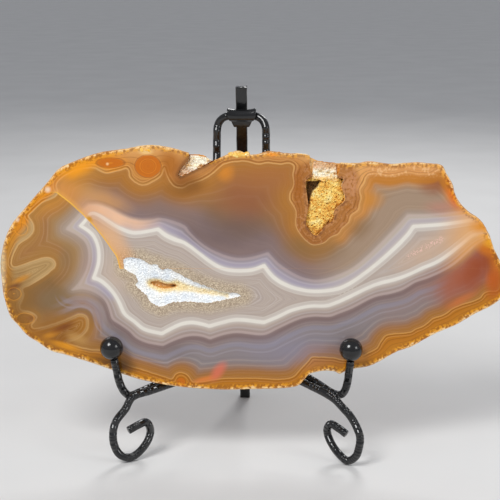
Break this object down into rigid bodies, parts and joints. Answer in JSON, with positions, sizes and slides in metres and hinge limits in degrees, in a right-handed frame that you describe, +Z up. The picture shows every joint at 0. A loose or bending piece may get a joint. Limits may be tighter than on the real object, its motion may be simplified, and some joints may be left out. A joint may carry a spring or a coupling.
{
  "type": "agate slice on an easel",
  "caption": "Polished slice of banded agate with a crystal-lined hollow, standing on a folding wrought iron easel with scrolled feet.",
  "frame": {"origin": "on the surface that the easel stands on, under the middle of the whole thing", "axes": "+Z up, +X along the slice to the viewer's right, -Y towards the viewer"},
  "size_m": [0.28, 0.1131, 0.205],
  "materials": {
    "agate": "polished, banded, slightly translucent",
    "quartz": "small clear and milky crystals",
    "ochre": "crumbly, matt, pitted",
    "iron": "hammered, blackened, waxed satin"
  },
  "bodies": {
    "front": {"agate_slice": "agate", "quartz_crust": "quartz", "pocket_filling": "ochre", "bow": "iron", "left_foot": "iron", "right_foot": "iron", "left_rest_arm": "iron", "right_rest_arm": "iron", "left_ball": "iron", "right_ball": "iron"},
    "rear": {"rear_leg": "iron", "hinge_strap": "iron"}
  },
  "joints": [
    {"name": "rear_leg_fold", "type": "hinge", "parent": "front", "child": "rear", "pos_m": [-0.0073, -0.0062, 0.1888], "axis": [-1, 0, 0], "range_deg": [0, 19]}
  ]
}
